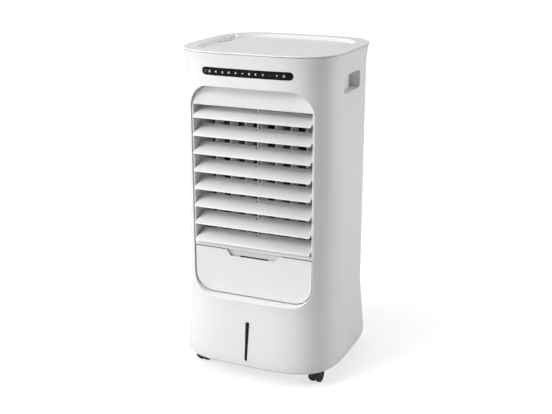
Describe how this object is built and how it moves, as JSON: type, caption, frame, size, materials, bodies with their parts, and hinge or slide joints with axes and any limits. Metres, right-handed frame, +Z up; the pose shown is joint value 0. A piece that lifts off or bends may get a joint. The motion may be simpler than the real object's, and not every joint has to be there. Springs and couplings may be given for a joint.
{
  "type": "evaporative cooler",
  "caption": "Wheeled tower cooler with a tilting louvre front, swinging vanes, fill flap, touch strip, lidded top and pull-out rear water tank.",
  "frame": {"origin": "on the floor under the middle of the tower's waist", "axes": "+Z up; the louvred front faces -Y; +X is to the right of a viewer who faces the front"},
  "size_m": [0.418, 0.398, 0.824],
  "materials": {
    "white_shell": "satin white moulding",
    "white_insert": "fine-grained white moulding",
    "gloss_lens": "gloss black",
    "smoked_window": "smoked",
    "black_plastic": "black moulding",
    "caster_tread": "black nylon",
    "cord_sheath": "soft black",
    "dark_plastic": "dark grey moulding",
    "tank_plastic": "pale translucent",
    "wet_pad": "corrugated cellulose",
    "filter_mesh": "fine mesh",
    "bright_steel": "plated",
    "circuit_board": "lacquered",
    "hose": "silicone"
  },
  "bodies": {
    "cabinet": {"housing": "white_shell", "top_cover": "white_shell", "ice_tray": "white_insert", "display_lens": "gloss_lens", "control_board": "circuit_board", "level_window": "smoked_window", "grille_frame": "white_insert", "swing_motor": "bright_steel", "fill_chute": "white_insert", "fan_shroud": "dark_plastic", "fan_motor": "bright_steel", "pad_frame": "white_insert", "cooling_pad": "wet_pad", "water_distributor": "white_insert", "water_pump": "black_plastic", "pump_bracket": "white_insert", "riser_hose": "hose", "rear_panel": "white_shell", "rear_screw_1": "bright_steel", "rear_screw_2": "bright_steel", "rear_screw_3": "bright_steel", "rear_screw_4": "bright_steel", "power_cord": "cord_sheath", "mains_plug": "black_plastic", "base_chassis": "white_shell"},
    "louvre_1": {"louvre_1": "white_insert"},
    "louvre_2": {"louvre_2": "white_insert"},
    "louvre_3": {"louvre_3": "white_insert"},
    "louvre_4": {"louvre_4": "white_insert"},
    "louvre_5": {"louvre_5": "white_insert"},
    "louvre_6": {"louvre_6": "white_insert"},
    "louvre_7": {"louvre_7": "white_insert"},
    "louvre_8": {"louvre_8": "white_insert"},
    "louvre_link": {"louvre_link": "white_insert"},
    "vane_1": {"vane_1": "white_insert"},
    "vane_2": {"vane_2": "white_insert"},
    "vane_3": {"vane_3": "white_insert"},
    "vane_4": {"vane_4": "white_insert"},
    "vane_5": {"vane_5": "white_insert"},
    "vane_6": {"vane_6": "white_insert"},
    "vane_7": {"vane_7": "white_insert"},
    "vane_link": {"vane_link": "white_insert"},
    "fill_door": {"fill_door": "white_insert"},
    "top_lid": {"top_lid": "white_shell"},
    "fan": {"fan_rotor": "dark_plastic", "fan_shaft": "bright_steel"},
    "water_tank": {"water_tank": "tank_plastic", "drain_plug": "dark_plastic"},
    "rear_grille": {"rear_grille": "white_shell", "dust_filter": "filter_mesh"},
    "fork_front_left": {"caster_fork_front_left": "black_plastic"},
    "wheels_front_left": {"caster_wheels_front_left": "caster_tread"},
    "fork_front_right": {"caster_fork_front_right": "black_plastic"},
    "wheels_front_right": {"caster_wheels_front_right": "caster_tread"},
    "fork_rear_left": {"caster_fork_rear_left": "black_plastic"},
    "wheels_rear_left": {"caster_wheels_rear_left": "caster_tread"},
    "fork_rear_right": {"caster_fork_rear_right": "black_plastic"},
    "wheels_rear_right": {"caster_wheels_rear_right": "caster_tread"}
  },
  "joints": [
    {"name": "louvre_1_tilt", "type": "hinge", "parent": "cabinet", "child": "louvre_1", "pos_m": [0, -0.14833, 0.66767], "axis": [1, 0, 0], "range_deg": [-35, 14]},
    {"name": "louvre_2_tilt", "type": "hinge", "parent": "cabinet", "child": "louvre_2", "pos_m": [0, -0.14833, 0.62317], "axis": [1, 0, 0], "range_deg": [-35, 14]},
    {"name": "louvre_3_tilt", "type": "hinge", "parent": "cabinet", "child": "louvre_3", "pos_m": [0, -0.14833, 0.57867], "axis": [1, 0, 0], "range_deg": [-35, 14]},
    {"name": "louvre_4_tilt", "type": "hinge", "parent": "cabinet", "child": "louvre_4", "pos_m": [0, -0.14833, 0.53417], "axis": [1, 0, 0], "range_deg": [-35, 14]},
    {"name": "louvre_5_tilt", "type": "hinge", "parent": "cabinet", "child": "louvre_5", "pos_m": [0, -0.14833, 0.48967], "axis": [1, 0, 0], "range_deg": [-35, 14]},
    {"name": "louvre_6_tilt", "type": "hinge", "parent": "cabinet", "child": "louvre_6", "pos_m": [0, -0.14833, 0.44517], "axis": [1, 0, 0], "range_deg": [-35, 14]},
    {"name": "louvre_7_tilt", "type": "hinge", "parent": "cabinet", "child": "louvre_7", "pos_m": [0, -0.14833, 0.40067], "axis": [1, 0, 0], "range_deg": [-35, 14]},
    {"name": "louvre_8_tilt", "type": "hinge", "parent": "cabinet", "child": "louvre_8", "pos_m": [0, -0.14833, 0.35617], "axis": [1, 0, 0], "range_deg": [-35, 14]},
    {"name": "louvre_link_turn", "type": "hinge", "parent": "louvre_1", "child": "louvre_link", "pos_m": [0, -0.11845, 0.67914], "axis": [1, 0, 0], "range_deg": [-14, 35]},
    {"name": "vane_4_swing", "type": "hinge", "parent": "cabinet", "child": "vane_4", "pos_m": [0, -0.083, 0.518], "axis": [0, 0, 1], "range_deg": [-35, 35]},
    {"name": "vane_1_swing", "type": "hinge", "parent": "cabinet", "child": "vane_1", "pos_m": [-0.12, -0.083, 0.518], "axis": [0, 0, 1], "range_deg": [-35, 35]},
    {"name": "vane_2_swing", "type": "hinge", "parent": "cabinet", "child": "vane_2", "pos_m": [-0.08, -0.083, 0.518], "axis": [0, 0, 1], "range_deg": [-35, 35]},
    {"name": "vane_3_swing", "type": "hinge", "parent": "cabinet", "child": "vane_3", "pos_m": [-0.04, -0.083, 0.518], "axis": [0, 0, 1], "range_deg": [-35, 35]},
    {"name": "vane_5_swing", "type": "hinge", "parent": "cabinet", "child": "vane_5", "pos_m": [0.04, -0.083, 0.518], "axis": [0, 0, 1], "range_deg": [-35, 35]},
    {"name": "vane_6_swing", "type": "hinge", "parent": "cabinet", "child": "vane_6", "pos_m": [0.08, -0.083, 0.518], "axis": [0, 0, 1], "range_deg": [-35, 35]},
    {"name": "vane_7_swing", "type": "hinge", "parent": "cabinet", "child": "vane_7", "pos_m": [0.12, -0.083, 0.518], "axis": [0, 0, 1], "range_deg": [-35, 35]},
    {"name": "vane_link_turn", "type": "hinge", "parent": "vane_4", "child": "vane_link", "pos_m": [0, -0.068, 0.694], "axis": [0, 0, 1], "range_deg": [-35, 35]},
    {"name": "fill_door_hinge", "type": "hinge", "parent": "cabinet", "child": "fill_door", "pos_m": [0, -0.1555, 0.2255], "axis": [1, 0, 0], "range_deg": [0, 30]},
    {"name": "top_lid_hinge", "type": "hinge", "parent": "cabinet", "child": "top_lid", "pos_m": [0.1638, 0, 0.8163], "axis": [0, 1, 0], "range_deg": [0, 80]},
    {"name": "fan_spin", "type": "hinge", "parent": "cabinet", "child": "fan", "pos_m": [0, -0.014, 0.518], "axis": [0, 1, 0], "continuous": true},
    {"name": "water_tank_slide", "type": "slide", "parent": "cabinet", "child": "water_tank", "axis": [0, 1, 0], "range_m": [0, 0.18]},
    {"name": "rear_grille_hinge", "type": "hinge", "parent": "cabinet", "child": "rear_grille", "pos_m": [0, 0.16, 0.3232], "axis": [-1, 0, 0], "range_deg": [0, 25]},
    {"name": "swivel_front_left", "type": "hinge", "parent": "cabinet", "child": "fork_front_left", "pos_m": [-0.157, -0.128, 0.05], "axis": [0, 0, 1], "continuous": true},
    {"name": "roll_front_left", "type": "hinge", "parent": "fork_front_left", "child": "wheels_front_left", "pos_m": [-0.157, -0.117, 0.019], "axis": [1, 0, 0], "continuous": true},
    {"name": "swivel_front_right", "type": "hinge", "parent": "cabinet", "child": "fork_front_right", "pos_m": [0.157, -0.128, 0.05], "axis": [0, 0, 1], "continuous": true},
    {"name": "roll_front_right", "type": "hinge", "parent": "fork_front_right", "child": "wheels_front_right", "pos_m": [0.157, -0.117, 0.019], "axis": [1, 0, 0], "continuous": true},
    {"name": "swivel_rear_left", "type": "hinge", "parent": "cabinet", "child": "fork_rear_left", "pos_m": [-0.157, 0.128, 0.05], "axis": [0, 0, 1], "continuous": true},
    {"name": "roll_rear_left", "type": "hinge", "parent": "fork_rear_left", "child": "wheels_rear_left", "pos_m": [-0.157, 0.139, 0.019], "axis": [1, 0, 0], "continuous": true},
    {"name": "swivel_rear_right", "type": "hinge", "parent": "cabinet", "child": "fork_rear_right", "pos_m": [0.157, 0.128, 0.05], "axis": [0, 0, 1], "continuous": true},
    {"name": "roll_rear_right", "type": "hinge", "parent": "fork_rear_right", "child": "wheels_rear_right", "pos_m": [0.157, 0.139, 0.019], "axis": [1, 0, 0], "continuous": true}
  ],
  "couplings": [
    {"joint": "louvre_2_tilt", "follows": "louvre_1_tilt", "ratio": 1},
    {"joint": "louvre_3_tilt", "follows": "louvre_1_tilt", "ratio": 1},
    {"joint": "louvre_4_tilt", "follows": "louvre_1_tilt", "ratio": 1},
    {"joint": "louvre_5_tilt", "follows": "louvre_1_tilt", "ratio": 1},
    {"joint": "louvre_6_tilt", "follows": "louvre_1_tilt", "ratio": 1},
    {"joint": "louvre_7_tilt", "follows": "louvre_1_tilt", "ratio": 1},
    {"joint": "louvre_8_tilt", "follows": "louvre_1_tilt", "ratio": 1},
    {"joint": "louvre_link_turn", "follows": "louvre_1_tilt", "ratio": -1},
    {"joint": "vane_1_swing", "follows": "vane_4_swing", "ratio": 1},
    {"joint": "vane_2_swing", "follows": "vane_4_swing", "ratio": 1},
    {"joint": "vane_3_swing", "follows": "vane_4_swing", "ratio": 1},
    {"joint": "vane_5_swing", "follows": "vane_4_swing", "ratio": 1},
    {"joint": "vane_6_swing", "follows": "vane_4_swing", "ratio": 1},
    {"joint": "vane_7_swing", "follows": "vane_4_swing", "ratio": 1},
    {"joint": "vane_link_turn", "follows": "vane_4_swing", "ratio": -1}
  ]
}
